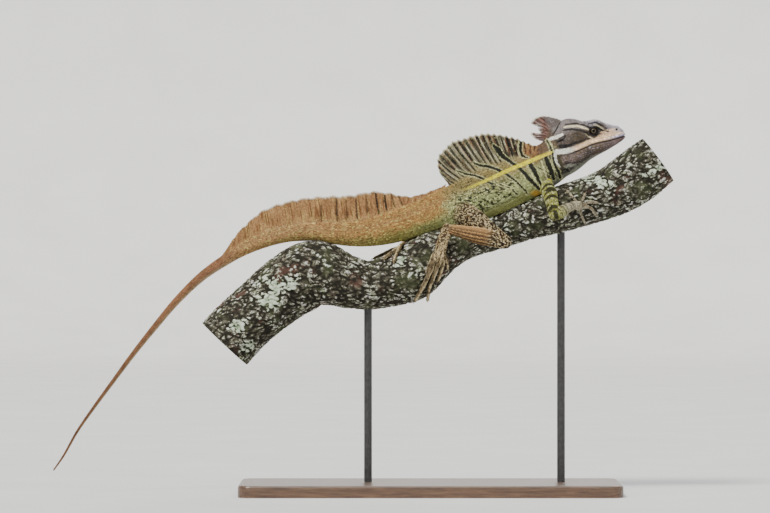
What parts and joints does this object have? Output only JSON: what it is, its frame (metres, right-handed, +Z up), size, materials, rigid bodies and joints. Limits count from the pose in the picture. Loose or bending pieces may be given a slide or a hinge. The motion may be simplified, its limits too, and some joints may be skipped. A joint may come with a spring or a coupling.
{
  "type": "still life-size model of a male common basilisk lizard on a branch",
  "caption": "Brown male basilisk with head crest, back sail and tail sail, lying along a lichened branch that a plain display stand holds.",
  "frame": {"origin": "centre of the display base's underside", "axes": "+X the way that the animal faces, along the branch; +Y the animal's left side; +Z up"},
  "size_m": [0.621, 0.15, 0.3789],
  "materials": {
    "head_skin": "satin, finely scaled, grey-brown with cream and black stripes",
    "body_skin": "satin, finely scaled, olive with a yellow stripe and black bars",
    "tail_skin": "satin, keeled scales in rings, orange-brown",
    "limb_skin": "satin, scaled, brown netted with cream",
    "fin": "satin, thin skin over rays, khaki and rust brown",
    "eye": "wet gloss, dark brown with a pale ring",
    "bark": "rough dark bark with white and grey-green lichen",
    "stand_wood": "satin lacquer, dark stained",
    "stand_metal": "satin black"
  },
  "bodies": {
    "root": {"head": "head_skin", "lower_jaw": "head_skin", "head_crest": "fin", "eye_right": "eye", "eye_left": "eye", "neck": "body_skin", "torso": "body_skin", "back_sail": "fin", "tail_base": "tail_skin", "tail_middle": "tail_skin", "tail_rear": "tail_skin", "tail_tip": "tail_skin", "tail_sail": "fin", "right_thigh": "limb_skin", "right_shin": "limb_skin", "right_foot": "limb_skin", "right_upper_arm": "limb_skin", "right_forearm": "limb_skin", "right_hand": "limb_skin", "left_thigh": "limb_skin", "left_shin": "limb_skin", "left_foot": "limb_skin", "left_upper_arm": "limb_skin", "left_forearm": "limb_skin", "left_hand": "limb_skin", "perch_branch": "bark", "stand_base": "stand_wood", "stand_rod_rear": "stand_metal", "stand_rod_front": "stand_metal"}
  },
  "joints": []
}
